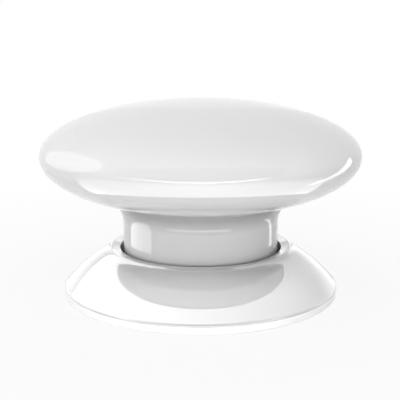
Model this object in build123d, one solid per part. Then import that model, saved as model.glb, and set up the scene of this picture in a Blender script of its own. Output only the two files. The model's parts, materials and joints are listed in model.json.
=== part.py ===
from build123d import *
from math import asin, atan2, cos, degrees, hypot, radians, sin, sqrt
import os

# Battery-powered smart button: a lens-shaped cap on a round neck, which presses down into a flared base.
# Millimetres, +Z up, origin at the centre of the base's underside, everything at rest and locked.

# Cap: two half ellipsoids that meet at the widest circle
CAP_RADIUS = 23.0
CAP_HALF_HEIGHT = 7.9
CAP_MIDDLE_Z = 20.3
CAP_WALL = 1.6
ELLIPSE_SHARE = 0.5523

# Neck, with the hollow curve that carries it out into the cap's underside
NECK_WALL = 1.4
NECK_BOTTOM_Z = 5.4
NECK_SEAM_GAP = 0.08
NECK_FLANGE_FLAT = 0.32
NECK_EDGE_ROUND = 0.3
HOOK_COUNT = 6
HOOK_SWEEP = 22.0
HOOK_THICKNESS = 0.7
HOOK_REACH = 0.45
HOOK_BARB = 0.7
HOOK_GAP = 0.25

# Press travel and the keys that stop it
PRESS_TRAVEL = 1.0
KEY_COUNT = 3
FIRST_KEY = 60.0
KEY_WIDTH = 2.4
KEY_DEPTH = 0.8
KEY_HEIGHT = 2.6
KEY_ABOVE_EDGE = 1.3
KEY_SIDE_GAP = 0.12
KEY_END_GAP = 0.1

# Base: flared shell with a raised lip that slopes down to the bore, standing on a thin plate
BASE_RADIUS = 20.1
BASE_PLATE_RIM = 1.04
SKIRT_EDGE_Z = 1.75
SKIRT_EDGE_INSET = 0.45
SKIRT_TOP_Z = 6.04
SKIRT_CROWN = 0.29
SHELL_WALL = 1.4
LIP_GAP = 0.5
LIP_ROLL_RADIUS = 0.32
LIP_SLOPE_WIDTH = 1.66
LIP_FOOT_WIDTH = 0.32
LIP_TOP_Z = 7.38
LIP_EDGE_Z = 6.55
BORE_TUBE_WALL = 1.3
PARTING_BEVEL = 0.14
RIB_COUNT = 12
RIB_WIDTH = 0.9
FIT_GAP = 0.1
PLATE_STEP = 0.66
PLATE_FOOT_ROUND = 0.15
PAD_INSET = 2.5
PAD_THICKNESS = 0.4
PAD_GAP = 0.1

# Screws: size, place and heads
BASE_SCREW_LENGTH = 2.9
CAP_SCREW_EDGE = 3.0
CAP_SCREW_LENGTH = 5.2
SCREW_COUNT = 3
SCREW_RADIUS = 0.7
SCREW_HEAD_RADIUS = 1.3
SCREW_HEAD_HEIGHT = 0.6
SCREW_SOCKET_RADIUS = 0.55
SCREW_SOCKET_DEPTH = 0.3
SCREW_HOLE_GAP = 0.12
BOSS_RADIUS = 1.6
CAP_BOSS_GAP = 0.05
FIRST_BASE_SCREW = 90.0
FIRST_CAP_SCREW = 90.0

# Twist lock: lugs on the sleeve turn under the roof of a ring in the base
RING_HEIGHT = 2.5
RING_ROOF = 1.1
RING_BORE_GAP = 0.15
RING_FLANGE = 0.6
LUG_COUNT = 3
LUG_REACH = 1.2
LUG_HEIGHT = 1.05
LUG_SWEEP = 20.0
LUG_END_GAP = 0.15
LUG_RISE = 0.2
LUG_TURN = 25.0
NOTCH_EXTRA_SWEEP = 4.0
STOP_SWEEP = 4.0
STOP_CLEAR_SWEEP = 1.5
FIRST_LUG = 30.0

# Sliding sleeve that carries the cap
SLEEVE_FIT = 0.08
SLEEVE_WALL = 1.1
SLEEVE_TOP_Z = 13.4
SLEEVE_LEDGE_WIDTH = 1.25
STRIKER_SWEEP = 16.0

# Return spring round the battery tube
SPRING_WIRE = 0.5
SPRING_TURNS = 4.5
SPRING_SEAT_GAP = 0.02
SPRING_TUBE_GAP = 0.35
SPRING_SLEEVE_GAP = 0.82

# Battery: a one-third N lithium cell
BATTERY_RADIUS = 5.8
BATTERY_HEIGHT = 10.8
BATTERY_BOTTOM_Z = 6.0
BATTERY_NUB_RADIUS = 2.4
BATTERY_NUB_HEIGHT = 0.4
BATTERY_EDGE_ROUND = 0.4
BATTERY_GAP = 0.15

# Chassis: battery tube with a disc that carries the board
TUBE_WALL = 1.15
TUBE_BOTTOM_Z = 4.0
COLLAR_BOTTOM_Z = 8.4
COLLAR_HEIGHT = 1.0
COLLAR_GAP = 0.25
CHASSIS_DISC_THICKNESS = 1.0
DOOR_THICKNESS = 1.0
DOOR_LUG_REACH = 0.55
DOOR_LUG_HEIGHT = 0.5
DOOR_LUG_SWEEP = 40.0
DOOR_LUG_COUNT = 2
DOOR_GAP = 0.08
DOOR_SLOT_LENGTH = 7.0
DOOR_SLOT_WIDTH = 1.2
DOOR_SLOT_DEPTH = 0.5
DOOR_TURN = 60.0
CEILING = 0.5
CONTACT_THICKNESS = 0.2
CONTACT_WIDTH = 3.0
CONTACT_GAP = 0.02

# Board and what stands on it
BOARD_DROP = 1.3
BOARD_EDGE_GAP = 1.0
BOARD_THICKNESS = 1.0
RADIO_LENGTH = 9.5
RADIO_WIDTH = 8.0
RADIO_HEIGHT = 2.2
RADIO_X = -7.6
RADIO_Y = 2.6
RADIO_CAN_INSET = 0.5
RADIO_BOARD = 0.7
CHIP_SIDE = 5.0
CHIP_HEIGHT = 0.9
CHIP_Y = 7.6
LED_SIDE = 3.0
LED_HEIGHT = 1.4
LED_LENS_RADIUS = 1.1
LED_LENS_HEIGHT = 0.3
BUZZER_RADIUS = 4.5
BUZZER_HEIGHT = 3.2
BUZZER_HOLE_RADIUS = 0.8
BUZZER_HOLE_DEPTH = 0.8
BUZZER_X = 7.4
BUZZER_Y = 2.6
CAPACITOR_LENGTH = 7.3
CAPACITOR_WIDTH = 4.3
CAPACITOR_HEIGHT = 2.9
CAPACITOR_Y = -5.6
CRYSTAL_LENGTH = 3.2
CRYSTAL_WIDTH = 2.5
CRYSTAL_HEIGHT = 0.8
CRYSTAL_X = 7.2
CRYSTAL_Y = -4.6
ANTENNA_WIRE = 0.5
ANTENNA_RADIUS = 1.4
ANTENNA_TURNS = 6.0
ANTENNA_PITCH = 1.1
ANTENNA_Y = -11.4
ANTENNA_LEG_SINK = 0.3

# Push switch under the board, worked by a striker on the sleeve
SWITCH_SIDE = 4.4
SWITCH_HEIGHT = 3.0
SWITCH_INSET = 0.32
SWITCH_CORNER = 0.4
PLUNGER_RADIUS = 1.1
PLUNGER_REACH = 1.2
PLUNGER_DEPTH = 1.0
PLUNGER_GAP = 0.1
STRIKER_GAP = 0.03

OVERRUN = 0.5

# Sizes worked out from the ones above, from the battery out to the cap's opening
TUBE_BORE = BATTERY_RADIUS + BATTERY_GAP
TUBE_RADIUS = TUBE_BORE + TUBE_WALL
SPRING_RADIUS = TUBE_RADIUS + SPRING_TUBE_GAP + SPRING_WIRE / 2
SLEEVE_BORE = SPRING_RADIUS + SPRING_WIRE / 2 + SPRING_SLEEVE_GAP
SLEEVE_RADIUS = SLEEVE_BORE + SLEEVE_WALL
NECK_BORE = SLEEVE_RADIUS + SLEEVE_FIT
NECK_RADIUS = NECK_BORE + NECK_WALL
CAP_SCREW_CIRCLE = NECK_RADIUS + BOSS_RADIUS + CAP_BOSS_GAP
CAP_OPENING_RADIUS = CAP_SCREW_CIRCLE + CAP_SCREW_EDGE
BOARD_RADIUS = CAP_OPENING_RADIUS - BOARD_EDGE_GAP
PAD_RADIUS = BASE_RADIUS - PAD_INSET
CAP_TOP_Z = CAP_MIDDLE_Z + CAP_HALF_HEIGHT
SEAM_Z = CAP_MIDDLE_Z - CAP_HALF_HEIGHT * sqrt(1 - (CAP_OPENING_RADIUS / CAP_RADIUS) ** 2)
FLANGE_RADIUS = CAP_OPENING_RADIUS - NECK_SEAM_GAP
NECK_ROOT_RADIUS = FLANGE_RADIUS - NECK_FLANGE_FLAT - NECK_RADIUS
ROOT_Z = SEAM_Z - NECK_ROOT_RADIUS
FLANGE_TOP_Z = SEAM_Z + NECK_WALL
CAP_INNER_SHARE = CAP_OPENING_RADIUS / (CAP_RADIUS - CAP_WALL)
CAP_INNER_Z = CAP_MIDDLE_Z - (CAP_HALF_HEIGHT - CAP_WALL) * sqrt(1 - CAP_INNER_SHARE ** 2)
HOOK_BARB_Z = CAP_INNER_Z + HOOK_GAP
KEY_BOTTOM_Z = NECK_BOTTOM_Z + KEY_ABOVE_EDGE
KEY_TOP_Z = KEY_BOTTOM_Z + KEY_HEIGHT
LIP_BORE = NECK_RADIUS + LIP_GAP
LIP_TOP_RADIUS = LIP_BORE + LIP_SLOPE_WIDTH
SKIRT_TOP_RADIUS = LIP_TOP_RADIUS + LIP_ROLL_RADIUS + LIP_FOOT_WIDTH
BORE_TUBE_RADIUS = LIP_BORE + BORE_TUBE_WALL
BASE_SCREW_CIRCLE = BORE_TUBE_RADIUS + BOSS_RADIUS + FIT_GAP
PLATE_TOP_Z = BASE_PLATE_RIM + PLATE_STEP
EAR_TOP_Z = PLATE_TOP_Z + RING_FLANGE
BASE_SCREW_HEAD_Z = PAD_THICKNESS + SCREW_HEAD_HEIGHT
RING_TOP_Z = PLATE_TOP_Z + RING_HEIGHT
ROOF_Z = RING_TOP_Z - RING_ROOF
LUG_Z = PLATE_TOP_Z + LUG_RISE
LUG_RADIUS = SLEEVE_RADIUS + LUG_REACH
CHAMBER_RADIUS = LUG_RADIUS + LUG_END_GAP
LEDGE_TOP_Z = LUG_Z + LUG_HEIGHT
BOARD_Z = CAP_MIDDLE_Z - BOARD_DROP
CHASSIS_DISC_Z = BOARD_Z - CHASSIS_DISC_THICKNESS
BOARD_TOP_Z = BOARD_Z + BOARD_THICKNESS
BATTERY_TOP_Z = BATTERY_BOTTOM_Z + BATTERY_HEIGHT
BATTERY_SHOULDER_Z = BATTERY_TOP_Z - BATTERY_NUB_HEIGHT
SWITCH_CIRCLE = SLEEVE_RADIUS - SWITCH_INSET
SWITCH_Z = BOARD_Z - SWITCH_HEIGHT
STRIKER_Z = SWITCH_Z - PLUNGER_REACH - STRIKER_GAP


def profile(*edges):
    """Turn a closed outline, drawn in radius and height, round the vertical axis."""
    return revolve(Plane.XZ * make_face([edge.edge() for edge in edges]), Axis.Z)


def outline(*points):
    """Turn a closed outline of straight lines round the vertical axis."""
    return revolve(Plane.XZ * make_face(Polyline(*points, close=True)), Axis.Z)


def ring(inner, outer, low, high):
    """A plain round band, or a disc where inner is zero."""
    band = Pos(0, 0, low) * extrude(Circle(outer), high - low)
    if inner == 0:
        return band
    return band - Pos(0, 0, low - OVERRUN) * extrude(Circle(inner), high - low + 2 * OVERRUN)


def sector(inner, outer, low, high, middle, sweep):
    """The part of a round band that spans sweep degrees round the angle middle."""
    far = 2 * outer
    half = radians(sweep / 2)
    wedge = Polyline((0, 0), (far * cos(half), -far * sin(half)), (far * cos(half), far * sin(half)), close=True)
    cutter = Pos(0, 0, low - OVERRUN) * extrude(make_face(wedge), high - low + 2 * OVERRUN)
    return ring(inner, outer, low, high) & (Rot(0, 0, middle) * cutter)


def spread(count, first):
    """Angles of a number of like features round the axis."""
    return [first + 360 * index / count for index in range(count)]


def at_polar(radius, angle, height):
    """A place at a radius and angle, with its X axis pointing outwards."""
    return Rot(0, 0, angle) * Pos(radius, 0, height)


def peg(radius, low, high, distance=0, angle=0):
    """A round post that stands at a distance from the axis."""
    return at_polar(distance, angle, low) * extrude(Circle(radius), high - low)


def block(length, width, low, high, x=0, y=0):
    """An upright box centred on x and y."""
    return Pos(x, y, low) * extrude(Rectangle(length, width), high - low)


def lens(inset):
    """Half the cap's section: two elliptical quarters on the axis, inset by nothing or by the wall."""
    radius = CAP_RADIUS - inset
    half = CAP_HALF_HEIGHT - inset
    quarters = [
        Bezier(
            (radius, CAP_MIDDLE_Z), (radius, CAP_MIDDLE_Z + way * ELLIPSE_SHARE * half),
            (ELLIPSE_SHARE * radius, CAP_MIDDLE_Z + way * half), (0, CAP_MIDDLE_Z + way * half))
        for way in (1, -1)]
    axis = Line(quarters[0] @ 1, quarters[1] @ 1)
    return make_face([edge.edge() for edge in (*quarters, axis)])


def screw(distance, angle, head_z, length):
    """A screw that points up, its head below head_z and its shank above it."""
    head = peg(SCREW_HEAD_RADIUS, head_z - SCREW_HEAD_HEIGHT, head_z, distance, angle)
    shank = peg(SCREW_RADIUS, head_z, head_z + length, distance, angle)
    socket = at_polar(distance, angle, head_z - SCREW_HEAD_HEIGHT) * extrude(
        RegularPolygon(SCREW_SOCKET_RADIUS, 6), SCREW_SOCKET_DEPTH)
    return head + shank - socket


def coil_path(radius, pitch, turns):
    """A coil's centre line, each quarter turn made of two arcs that meet in one direction."""
    def place(turn):
        return Vector(radius * cos(radians(360 * turn)), radius * sin(radians(360 * turn)), pitch * turn)

    def heading(turn):
        run = radians(360) * radius
        way = Vector(-run * sin(radians(360 * turn)), run * cos(radians(360 * turn)), pitch)
        return way.normalized()

    arcs = []
    for quarter in range(round(4 * turns)):
        start, end = place(quarter / 4), place((quarter + 1) / 4)
        leaving, arriving = heading(quarter / 4), heading((quarter + 1) / 4)
        chord, both = end - start, leaving + arriving
        bend = 2 * (1 - leaving.dot(arriving))
        slant = chord.dot(both)
        reach = (sqrt(slant ** 2 + bend * chord.dot(chord)) - slant) / bend
        near, far = start + leaving * reach, end - arriving * reach
        meeting = (near + far) * 0.5
        arcs.append(TangentArc(start, meeting, tangent=leaving).edge())
        arcs.append(TangentArc(meeting, end, tangent=far - near).edge())
    return Wire(arcs)


def coil(radius, pitch, turns, wire):
    """A round wire swept along a coil's centre line."""
    path = coil_path(radius, pitch, turns)
    return sweep(Plane(origin=path @ 0, z_dir=path % 0) * Circle(wire / 2), path)


def make_cap_shell():
    opening = Pos(0, SEAM_Z) * Rectangle(2 * CAP_OPENING_RADIUS, 2 * (CAP_MIDDLE_Z - SEAM_Z))
    shell = revolve(Plane.XZ * (lens(0) - lens(CAP_WALL) - opening), Axis.Z)
    boss_limit = revolve(Plane.XZ * lens(CAP_WALL / 2), Axis.Z)
    hole_top = CHASSIS_DISC_Z + CAP_SCREW_LENGTH + SCREW_HOLE_GAP
    for angle in spread(SCREW_COUNT, FIRST_CAP_SCREW):
        boss = peg(BOSS_RADIUS, BOARD_TOP_Z, CAP_TOP_Z, CAP_SCREW_CIRCLE, angle)
        hole = peg(SCREW_RADIUS, BOARD_TOP_Z - OVERRUN, hole_top, CAP_SCREW_CIRCLE, angle)
        shell += (boss - hole) & boss_limit
    return shell


def make_neck_sleeve():
    middle = NECK_RADIUS + NECK_ROOT_RADIUS
    edge = (NECK_RADIUS - NECK_EDGE_ROUND, NECK_BOTTOM_Z + NECK_EDGE_ROUND)
    body = profile(
        Line((NECK_BORE, NECK_BOTTOM_Z), (edge[0], NECK_BOTTOM_Z)),
        CenterArc(edge, NECK_EDGE_ROUND, -90, 90),
        Line((NECK_RADIUS, edge[1]), (NECK_RADIUS, ROOT_Z)),
        CenterArc((middle, ROOT_Z), NECK_ROOT_RADIUS, 90, 90),
        Line((middle, SEAM_Z), (FLANGE_RADIUS, SEAM_Z)),
        Line((FLANGE_RADIUS, SEAM_Z), (FLANGE_RADIUS, FLANGE_TOP_Z)),
        Line((FLANGE_RADIUS, FLANGE_TOP_Z), (middle, FLANGE_TOP_Z)),
        CenterArc((middle, ROOT_Z), NECK_ROOT_RADIUS + NECK_WALL, 90, 90),
        Line((NECK_BORE, ROOT_Z), (NECK_BORE, NECK_BOTTOM_Z)),
    )
    rooted = ring(0, NECK_BORE + NECK_WALL / 2, KEY_BOTTOM_Z, KEY_TOP_Z)
    for angle in spread(KEY_COUNT, FIRST_KEY):
        key = at_polar(NECK_BORE, angle, KEY_BOTTOM_Z) * extrude(Rectangle(2 * KEY_DEPTH, KEY_WIDTH), KEY_HEIGHT)
        body += key & rooted
    hook_bore = FLANGE_RADIUS - HOOK_THICKNESS
    hook_top = HOOK_BARB_Z + HOOK_BARB
    for angle in spread(HOOK_COUNT, 0):
        body += sector(hook_bore, FLANGE_RADIUS, SEAM_Z + NECK_WALL / 2, hook_top, angle, HOOK_SWEEP)
        barb = outline(
            (hook_bore, HOOK_BARB_Z), (FLANGE_RADIUS + HOOK_REACH, HOOK_BARB_Z), (FLANGE_RADIUS, hook_top),
            (hook_bore, hook_top))
        body += barb & sector(0, BASE_RADIUS, HOOK_BARB_Z, hook_top, angle, HOOK_SWEEP)
    return body


def skirt(inset):
    """Ends of the crowned skirt, outside where inset is zero or inside where it is the wall."""
    run = BASE_RADIUS - SKIRT_EDGE_INSET - SKIRT_TOP_RADIUS
    rise = SKIRT_TOP_Z - SKIRT_EDGE_Z
    slant = hypot(run, rise)
    across = (inset * rise / slant, inset * run / slant)
    low = (BASE_RADIUS - SKIRT_EDGE_INSET - across[0], SKIRT_EDGE_Z - across[1])
    high = (SKIRT_TOP_RADIUS - across[0], SKIRT_TOP_Z - across[1])
    return low, high


def make_base_outside():
    """The shell's outer form, still solid: rim, crowned skirt, raised lip."""
    low, high = skirt(0)
    rim_top = (BASE_RADIUS, BASE_PLATE_RIM + PARTING_BEVEL)
    roll = (LIP_TOP_RADIUS, LIP_TOP_Z - LIP_ROLL_RADIUS)
    roll_side = (roll[0] + LIP_ROLL_RADIUS, roll[1])
    fall = (low[0] - high[0], low[1] - high[1])
    return profile(
        Line((0, BASE_PLATE_RIM), (BASE_RADIUS - PARTING_BEVEL, BASE_PLATE_RIM)),
        Line((BASE_RADIUS - PARTING_BEVEL, BASE_PLATE_RIM), rim_top),
        Spline((rim_top, low), tangents=((0, 1), (-fall[0], -fall[1]))),
        SagittaArc(low, high, SKIRT_CROWN),
        Spline((high, roll_side), tangents=((-fall[0], -fall[1]), (0, 1))),
        CenterArc(roll, LIP_ROLL_RADIUS, 0, 90),
        Line((roll[0], LIP_TOP_Z), (0, LIP_TOP_Z)),
        Line((0, LIP_TOP_Z), (0, BASE_PLATE_RIM)),
    )


def make_base_inside():
    """The hollow under the skirt, a wall's thickness in from the outside."""
    low, high = skirt(SHELL_WALL)
    slope = (high[1] - low[1]) / (high[0] - low[0])
    floor_z = BASE_PLATE_RIM - OVERRUN
    return outline(
        (BORE_TUBE_RADIUS, floor_z), (low[0] + (floor_z - low[1]) / slope, floor_z),
        (BORE_TUBE_RADIUS, high[1] + (BORE_TUBE_RADIUS - high[0]) * slope))


def make_lip_cut():
    """The bore, and the slope from its edge up to the lip's roll."""
    roll = (LIP_TOP_RADIUS, LIP_TOP_Z - LIP_ROLL_RADIUS)
    run, rise = roll[0] - LIP_BORE, roll[1] - LIP_EDGE_Z
    slope = degrees(atan2(rise, run) + asin(LIP_ROLL_RADIUS / hypot(run, rise)))
    over = CenterArc(roll, LIP_ROLL_RADIUS, 90 + slope, -slope)
    return profile(
        Line((0, BASE_PLATE_RIM - OVERRUN), (LIP_BORE, BASE_PLATE_RIM - OVERRUN)),
        Line((LIP_BORE, BASE_PLATE_RIM - OVERRUN), (LIP_BORE, LIP_EDGE_Z)),
        Line((LIP_BORE, LIP_EDGE_Z), over @ 0),
        over,
        Line((roll[0], LIP_TOP_Z), (roll[0], LIP_TOP_Z + OVERRUN)),
        Line((roll[0], LIP_TOP_Z + OVERRUN), (0, LIP_TOP_Z + OVERRUN)),
        Line((0, LIP_TOP_Z + OVERRUN), (0, BASE_PLATE_RIM - OVERRUN)),
    )


def make_base_shell():
    outside = make_base_outside()
    inside = make_base_inside()
    shell = outside - inside
    for angle in spread(RIB_COUNT, FIRST_BASE_SCREW + 180 / RIB_COUNT):
        rib = at_polar(BASE_RADIUS / 2, angle, RING_TOP_Z) * extrude(Rectangle(BASE_RADIUS, RIB_WIDTH), LIP_TOP_Z)
        shell += rib & inside
    for angle in spread(SCREW_COUNT, FIRST_BASE_SCREW):
        shell += peg(BOSS_RADIUS, EAR_TOP_Z, LIP_TOP_Z, BASE_SCREW_CIRCLE, angle) & inside
        hole_top = BASE_SCREW_HEAD_Z + BASE_SCREW_LENGTH + SCREW_HOLE_GAP
        shell -= peg(SCREW_RADIUS, BASE_PLATE_RIM, hole_top, BASE_SCREW_CIRCLE, angle)
    shell -= make_lip_cut()
    return shell - ring(0, BORE_TUBE_RADIUS + FIT_GAP, 0, RING_TOP_Z)


def make_base_plate():
    low, high = skirt(SHELL_WALL)
    share = (PLATE_TOP_Z - low[1]) / (high[1] - low[1])
    inner = low[0] + share * (high[0] - low[0]) - FIT_GAP
    plate = outline(
        (0, 0), (BASE_RADIUS - PLATE_FOOT_ROUND, 0), (BASE_RADIUS, PLATE_FOOT_ROUND),
        (BASE_RADIUS, BASE_PLATE_RIM - PARTING_BEVEL), (BASE_RADIUS - PARTING_BEVEL, BASE_PLATE_RIM),
        (inner, BASE_PLATE_RIM), (inner, PLATE_TOP_Z), (0, PLATE_TOP_Z))
    plate -= ring(0, PAD_RADIUS + PAD_GAP, -OVERRUN, PAD_THICKNESS)
    for angle in spread(SCREW_COUNT, FIRST_BASE_SCREW):
        head = SCREW_HEAD_RADIUS + SCREW_HOLE_GAP
        plate -= peg(head, 0, BASE_SCREW_HEAD_Z, BASE_SCREW_CIRCLE, angle)
        plate -= peg(SCREW_RADIUS + SCREW_HOLE_GAP, 0, RING_TOP_Z, BASE_SCREW_CIRCLE, angle)
    return plate


def make_adhesive_pad():
    return ring(0, PAD_RADIUS, 0, PAD_THICKNESS)


def make_bayonet_ring():
    """The lock: three L-shaped tracks under a roof, and three ears that the base screws clamp."""
    body = ring(SLEEVE_RADIUS + RING_BORE_GAP, BORE_TUBE_RADIUS, PLATE_TOP_Z, RING_TOP_Z)
    body -= ring(0, CHAMBER_RADIUS, PLATE_TOP_Z - OVERRUN, ROOF_Z)
    for angle in spread(LUG_COUNT, FIRST_LUG):
        way_in = LUG_SWEEP + NOTCH_EXTRA_SWEEP
        body -= sector(0, CHAMBER_RADIUS, PLATE_TOP_Z, RING_TOP_Z + OVERRUN, angle + LUG_TURN, way_in)
        clear = LUG_SWEEP / 2 + STOP_CLEAR_SWEEP + STOP_SWEEP / 2
        for place in (angle - clear, angle + LUG_TURN + clear):
            body += sector(
                SLEEVE_RADIUS + RING_BORE_GAP, BORE_TUBE_RADIUS, PLATE_TOP_Z, ROOF_Z, place, STOP_SWEEP)
    for angle in spread(SCREW_COUNT, FIRST_BASE_SCREW):
        ear = peg(BOSS_RADIUS, PLATE_TOP_Z, EAR_TOP_Z, BASE_SCREW_CIRCLE, angle)
        length = BASE_SCREW_CIRCLE - CHAMBER_RADIUS
        ear += at_polar(CHAMBER_RADIUS + length / 2, angle, PLATE_TOP_Z) * extrude(
            Rectangle(length, 2 * BOSS_RADIUS), RING_FLANGE)
        body += ear - ring(0, CHAMBER_RADIUS, PLATE_TOP_Z, EAR_TOP_Z)
        body -= peg(SCREW_RADIUS + SCREW_HOLE_GAP, 0, RING_TOP_Z, BASE_SCREW_CIRCLE, angle)
    return body


def make_base_screws():
    return Compound([
        screw(BASE_SCREW_CIRCLE, angle, BASE_SCREW_HEAD_Z, BASE_SCREW_LENGTH)
        for angle in spread(SCREW_COUNT, FIRST_BASE_SCREW)])


def make_slider_sleeve():
    """Tube that turns in the lock and guides the neck, with a ledge for the spring and a striker."""
    body = ring(SLEEVE_BORE, SLEEVE_RADIUS, LUG_Z, SLEEVE_TOP_Z)
    body += ring(SPRING_RADIUS - SLEEVE_LEDGE_WIDTH / 2, SLEEVE_BORE, LUG_Z, LEDGE_TOP_Z)
    for angle in spread(LUG_COUNT, FIRST_LUG):
        body += sector(SLEEVE_BORE, LUG_RADIUS, LUG_Z, LEDGE_TOP_Z, angle, LUG_SWEEP)
    for angle in spread(KEY_COUNT, FIRST_KEY):
        low = KEY_BOTTOM_Z - PRESS_TRAVEL - KEY_END_GAP
        window = at_polar(SLEEVE_RADIUS, angle, low) * extrude(
            Rectangle(2 * SLEEVE_WALL + OVERRUN, KEY_WIDTH + 2 * KEY_SIDE_GAP), KEY_TOP_Z + KEY_END_GAP - low)
        body -= window
    return body + sector(SLEEVE_BORE, SLEEVE_RADIUS, SLEEVE_TOP_Z, STRIKER_Z, 0, STRIKER_SWEEP)


def make_return_spring():
    """One unbroken wire; the least gap between its turns is printed."""
    low = LEDGE_TOP_Z + SPRING_SEAT_GAP + SPRING_WIRE / 2
    height = COLLAR_BOTTOM_Z - SPRING_SEAT_GAP - SPRING_WIRE / 2 - low
    pitch = height / SPRING_TURNS
    print("return spring: least gap between turns", round(pitch - SPRING_WIRE, 2), "mm")
    return Pos(0, 0, low) * coil(SPRING_RADIUS, pitch, SPRING_TURNS, SPRING_WIRE)


def make_battery():
    case = profile(
        Line((0, BATTERY_BOTTOM_Z), (BATTERY_RADIUS, BATTERY_BOTTOM_Z)),
        Line((BATTERY_RADIUS, BATTERY_BOTTOM_Z), (BATTERY_RADIUS, BATTERY_SHOULDER_Z - BATTERY_EDGE_ROUND)),
        CenterArc((BATTERY_RADIUS - BATTERY_EDGE_ROUND, BATTERY_SHOULDER_Z - BATTERY_EDGE_ROUND),
                  BATTERY_EDGE_ROUND, 0, 90),
        Line((BATTERY_RADIUS - BATTERY_EDGE_ROUND, BATTERY_SHOULDER_Z), (0, BATTERY_SHOULDER_Z)),
        Line((0, BATTERY_SHOULDER_Z), (0, BATTERY_BOTTOM_Z)),
    )
    return case + ring(0, BATTERY_NUB_RADIUS, BATTERY_SHOULDER_Z, BATTERY_TOP_Z)


def make_chassis():
    """Battery tube and board disc in one moulding, with a collar that the spring pushes up."""
    body = ring(0, TUBE_RADIUS, TUBE_BOTTOM_Z, CHASSIS_DISC_Z)
    body += ring(0, SLEEVE_BORE - COLLAR_GAP, COLLAR_BOTTOM_Z, COLLAR_BOTTOM_Z + COLLAR_HEIGHT)
    body += ring(0, BOARD_RADIUS, CHASSIS_DISC_Z, BOARD_Z)
    body -= ring(0, TUBE_BORE, TUBE_BOTTOM_Z - OVERRUN, BOARD_Z - CEILING)
    body -= ring(0, BATTERY_NUB_RADIUS, BOARD_Z - CEILING, BOARD_Z + OVERRUN)
    body -= make_door_track()
    body -= block(SWITCH_SIDE + 2 * FIT_GAP, SWITCH_SIDE + 2 * FIT_GAP, 0, BOARD_Z + OVERRUN, SWITCH_CIRCLE) & ring(
        TUBE_RADIUS, BASE_RADIUS, CHASSIS_DISC_Z - OVERRUN, BOARD_Z + OVERRUN)
    for angle in spread(SCREW_COUNT, FIRST_CAP_SCREW):
        body -= peg(SCREW_RADIUS + SCREW_HOLE_GAP, SWITCH_Z, BOARD_TOP_Z, CAP_SCREW_CIRCLE, angle)
    return body


def make_door_track():
    """Groove in the tube's foot that the door's lugs turn in, and the slots that they enter by."""
    groove_z = TUBE_BOTTOM_Z + (DOOR_THICKNESS - DOOR_LUG_HEIGHT) / 2 - DOOR_GAP
    reach = TUBE_BORE + DOOR_LUG_REACH + DOOR_GAP
    track = ring(0, reach, groove_z, groove_z + DOOR_LUG_HEIGHT + 2 * DOOR_GAP)
    for angle in spread(DOOR_LUG_COUNT, DOOR_TURN):
        track += sector(0, reach, TUBE_BOTTOM_Z - OVERRUN, groove_z + DOOR_GAP, angle, DOOR_LUG_SWEEP + STOP_SWEEP)
    return track


def make_battery_door():
    body = ring(0, TUBE_BORE - DOOR_GAP, TUBE_BOTTOM_Z, TUBE_BOTTOM_Z + DOOR_THICKNESS)
    lug_z = TUBE_BOTTOM_Z + (DOOR_THICKNESS - DOOR_LUG_HEIGHT) / 2
    for angle in spread(DOOR_LUG_COUNT, 0):
        body += sector(0, TUBE_BORE + DOOR_LUG_REACH, lug_z, lug_z + DOOR_LUG_HEIGHT, angle, DOOR_LUG_SWEEP)
    slot = block(DOOR_SLOT_LENGTH, DOOR_SLOT_WIDTH, TUBE_BOTTOM_Z - OVERRUN, TUBE_BOTTOM_Z + DOOR_SLOT_DEPTH)
    return body - slot


def make_contact_foot():
    """Bent strip between the door and the battery's flat end."""
    low = TUBE_BOTTOM_Z + DOOR_THICKNESS + CONTACT_GAP
    high = BATTERY_BOTTOM_Z - CONTACT_GAP
    return bent_strip(low, high, TUBE_BORE - DOOR_GAP - CONTACT_WIDTH / 2)


def make_contact_top():
    """Bent strip between the board and the battery's nub."""
    low = BATTERY_TOP_Z + CONTACT_GAP
    high = BOARD_Z - CEILING - CONTACT_GAP
    return bent_strip(high, low, TUBE_BORE - DOOR_GAP - CONTACT_WIDTH / 2)


def bent_strip(foot_z, touch_z, half_length):
    """Leaf contact: flat feet at foot_z, and a bow that reaches touch_z in the middle."""
    way = 1 if touch_z > foot_z else -1
    foot = half_length / 3
    rise = touch_z - foot_z - way * CONTACT_THICKNESS
    outer = [(-half_length, 0), (-half_length + foot, 0), (-foot / 2, rise), (foot / 2, rise),
             (half_length - foot, 0), (half_length, 0)]
    lower = [(x, foot_z + z) for x, z in outer]
    upper = [(x, foot_z + z + way * CONTACT_THICKNESS) for x, z in reversed(outer)]
    leaf = Plane.XZ * make_face(Polyline(*lower, *upper, close=True))
    return extrude(leaf, CONTACT_WIDTH / 2, both=True)


def make_main_board():
    body = ring(0, BOARD_RADIUS, BOARD_Z, BOARD_TOP_Z)
    for angle in spread(SCREW_COUNT, FIRST_CAP_SCREW):
        body -= peg(SCREW_RADIUS + SCREW_HOLE_GAP, BOARD_Z, BOARD_TOP_Z, CAP_SCREW_CIRCLE, angle)
    return body


def make_cap_screws():
    return Compound([
        screw(CAP_SCREW_CIRCLE, angle, CHASSIS_DISC_Z, CAP_SCREW_LENGTH)
        for angle in spread(SCREW_COUNT, FIRST_CAP_SCREW)])


def make_radio_module():
    can_z = BOARD_TOP_Z + RADIO_BOARD
    body = block(RADIO_LENGTH, RADIO_WIDTH, BOARD_TOP_Z, can_z, RADIO_X, RADIO_Y)
    can = block(RADIO_LENGTH - 2 * RADIO_CAN_INSET, RADIO_WIDTH - 2 * RADIO_CAN_INSET, can_z,
                BOARD_TOP_Z + RADIO_HEIGHT, RADIO_X, RADIO_Y)
    return body + can


def make_control_chip():
    return block(CHIP_SIDE, CHIP_SIDE, BOARD_TOP_Z, BOARD_TOP_Z + CHIP_HEIGHT, 0, CHIP_Y)


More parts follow.
